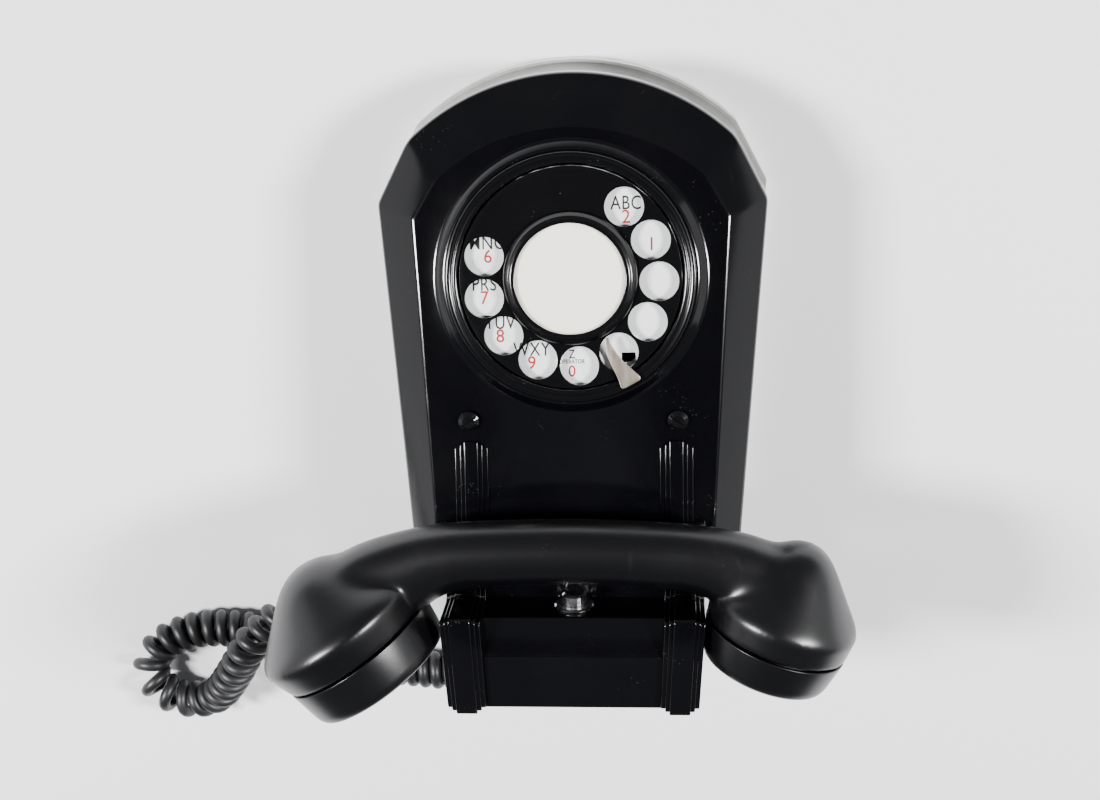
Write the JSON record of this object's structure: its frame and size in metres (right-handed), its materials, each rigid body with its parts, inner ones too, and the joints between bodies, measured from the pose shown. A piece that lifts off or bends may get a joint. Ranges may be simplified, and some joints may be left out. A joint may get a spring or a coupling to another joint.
{
  "type": "rotary wall telephone",
  "caption": "Black moulded wall telephone with a rotary dial, a handset lying across its lower cradle, a twin-gong ringer inside and a coiled handset cord.",
  "frame": {"origin": "on the back of the base plate, straight behind the middle of the dial", "axes": "+Z out of the front of the telephone (it lies on its back), +Y towards its top, +X to the right of someone facing it"},
  "size_m": [0.281, 0.2604, 0.1161],
  "materials": {
    "black_moulding": "glossy black phenolic moulding",
    "black_enamel": "semi-gloss black enamel on steel or die-cast metal",
    "black_rubber": "satin black cord jacket",
    "zinc_steel": "zinc-plated steel",
    "nickel": "nickel-plated steel",
    "chrome": "polished chrome",
    "brass": "plain brass",
    "copper_winding": "enamelled copper winding",
    "white_enamel": "white vitreous enamel with red and black characters",
    "ivory_card": "ivory paper",
    "clear_sheet": "clear sheet",
    "brown_board": "brown laminated board",
    "foil_can": "drawn metal can"
  },
  "bodies": {
    "root": {"base_plate": "zinc_steel", "housing": "black_moulding", "cover_screw_left": "black_enamel", "cover_screw_right": "black_enamel", "cover_post_left": "zinc_steel", "cover_post_right": "zinc_steel", "dial_mount_ring": "black_enamel", "number_plate": "white_enamel", "dial_case": "zinc_steel", "finger_stop": "nickel", "dial_bridge": "brass", "governor_cup": "brass", "mainspring_drum": "zinc_steel", "impulse_contacts": "brown_board", "ringer_frame": "zinc_steel", "ringer_coil_left": "copper_winding", "ringer_coil_right": "copper_winding", "gong_left": "brass", "gong_right": "brass", "gong_screw_left": "zinc_steel", "gong_screw_right": "zinc_steel", "condenser": "foil_can", "induction_coil": "copper_winding", "terminal_strip": "brown_board", "terminal_screw_1": "brass", "terminal_screw_2": "brass", "terminal_screw_3": "brass", "terminal_screw_4": "brass", "terminal_screw_5": "brass", "terminal_screw_6": "brass", "plunger_bush": "chrome", "hookswitch_bracket": "zinc_steel", "hookswitch_contacts": "brown_board", "cord_grommet": "black_rubber", "cord_tail_phone": "black_rubber", "curly_cord": "black_rubber"},
    "dial_rotor": {"finger_wheel": "black_enamel", "card_ring": "black_moulding", "card_window": "clear_sheet", "number_card": "ivory_card", "dial_shaft": "zinc_steel", "dial_main_gear": "brass"},
    "impulse_shaft": {"impulse_pinion": "zinc_steel", "impulse_cam": "brown_board"},
    "governor": {"governor_spindle": "zinc_steel", "governor_weights": "brass"},
    "plunger": {"hook_plunger": "chrome"},
    "lever": {"hookswitch_lever": "zinc_steel"},
    "clapper": {"bell_clapper": "zinc_steel"},
    "handset": {"handset_handle": "black_moulding", "transmitter_cap": "black_moulding", "receiver_cap": "black_moulding", "transmitter_capsule": "brass", "receiver_capsule": "zinc_steel", "handset_grommet": "black_rubber", "cord_tail_handset": "black_rubber"}
  },
  "joints": [
    {"name": "dial_turn", "type": "hinge", "parent": "root", "child": "dial_rotor", "pos_m": [0, 0, 0.0547], "axis": [0, -0.1338, -0.991], "range_deg": [-220, 110]},
    {"name": "impulse_turn", "type": "hinge", "parent": "root", "child": "impulse_shaft", "pos_m": [-0.02255, -0.00813, 0.0558], "axis": [0, -0.1338, -0.991], "range_deg": [-335, 665]},
    {"name": "governor_turn", "type": "hinge", "parent": "root", "child": "governor", "pos_m": [0.01934, -0.01197, 0.05632], "axis": [0, -0.1338, -0.991], "range_deg": [-420, 830]},
    {"name": "hook_press", "type": "slide", "parent": "root", "child": "plunger", "axis": [0, -1, 0], "range_m": [0, 0.005], "stiffness_N_per_m": 60, "springref_m": -0.004},
    {"name": "hook_lever_turn", "type": "hinge", "parent": "root", "child": "lever", "pos_m": [0, -0.1273, 0.04], "axis": [1, 0, 0], "range_deg": [0, 8]},
    {"name": "clapper_swing", "type": "hinge", "parent": "root", "child": "clapper", "pos_m": [0, -0.0545, 0.012], "axis": [0, 0, 1], "range_deg": [-3.5, 3.5], "stiffness_Nm_per_rad": 0.002},
    {"name": "handset_lift", "type": "slide", "parent": "root", "child": "handset", "axis": [0, 0, 1], "range_m": [0, 0.1]}
  ],
  "couplings": [
    {"joint": "impulse_turn", "follows": "dial_turn", "ratio": -3},
    {"joint": "governor_turn", "follows": "dial_turn", "ratio": -3.75},
    {"joint": "hook_lever_turn", "follows": "hook_press", "rad_per_m": 26.316}
  ]
}
